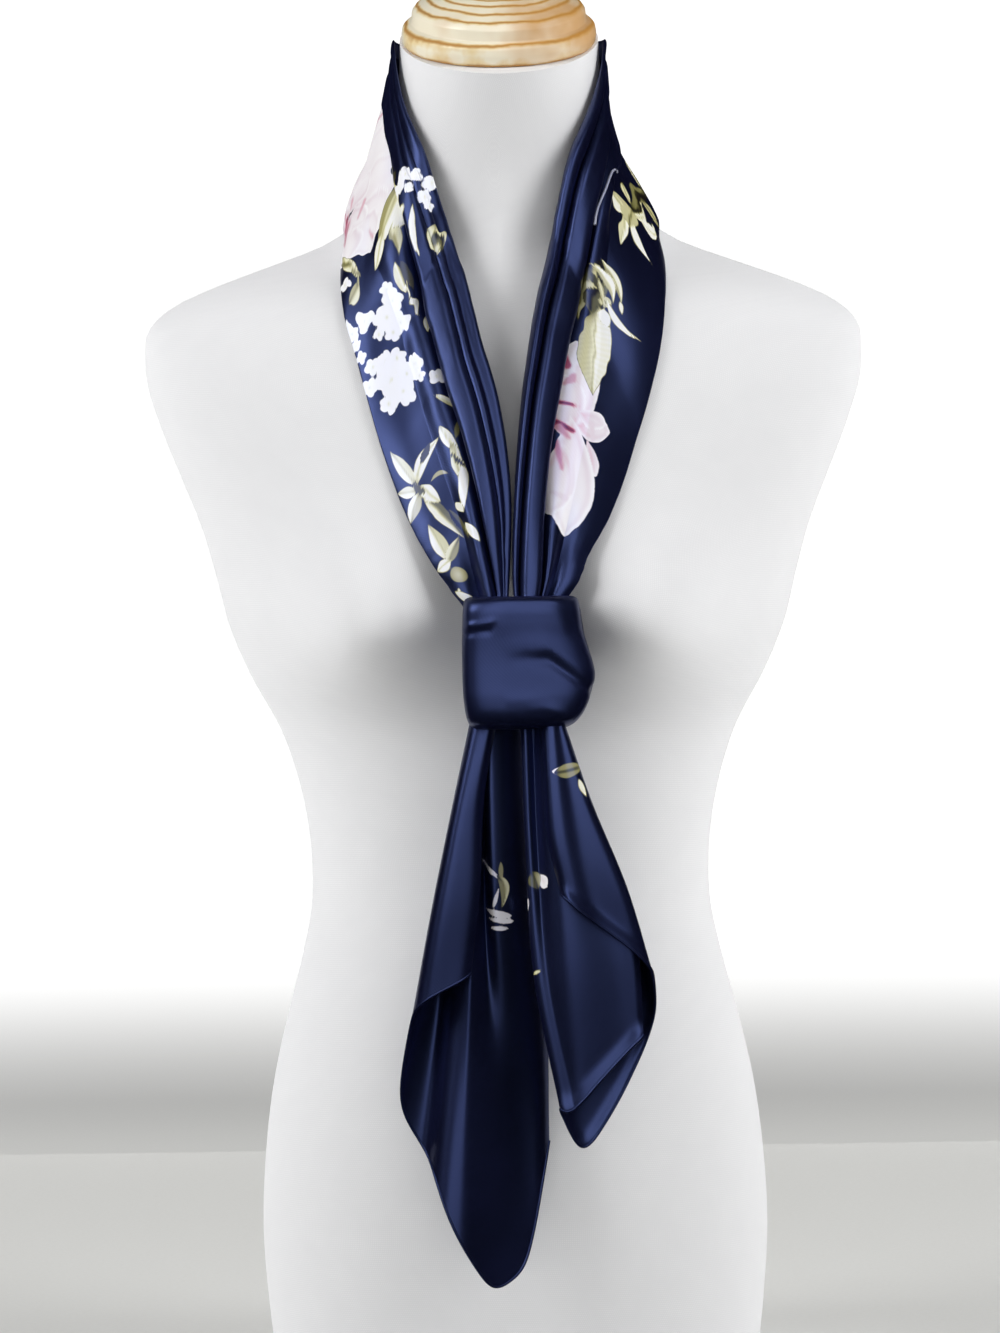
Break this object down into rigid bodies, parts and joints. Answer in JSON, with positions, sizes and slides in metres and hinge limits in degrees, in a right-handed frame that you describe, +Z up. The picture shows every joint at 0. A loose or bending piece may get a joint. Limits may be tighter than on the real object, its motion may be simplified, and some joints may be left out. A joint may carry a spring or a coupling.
{
  "type": "silk square scarf on a dress form",
  "caption": "Silk square scarf folded on the diagonal into a band, laid round the neck of a limbless dress form and knotted at the bust, with two hanging points.",
  "frame": {"origin": "on the flat underside of the dress form, under the middle of its neck and spine, on the surface that it stands on", "axes": "+Z up, -Y out of the chest, +X to the right as the form is seen from the front"},
  "size_m": [0.401, 0.2716, 0.7736],
  "materials": {
    "form_cover": "fine woven cover, matt off-white",
    "cap_wood": "turned pale wood, satin lacquer",
    "silk": "satin silk, navy with a flower and leaf print"
  },
  "bodies": {
    "root": {"dress_form": "form_cover", "neck_cap": "cap_wood", "collar_left": "silk", "collar_right": "silk", "scarf_back": "silk", "knot": "silk", "tail_long": "silk", "tail_short": "silk"}
  },
  "joints": []
}
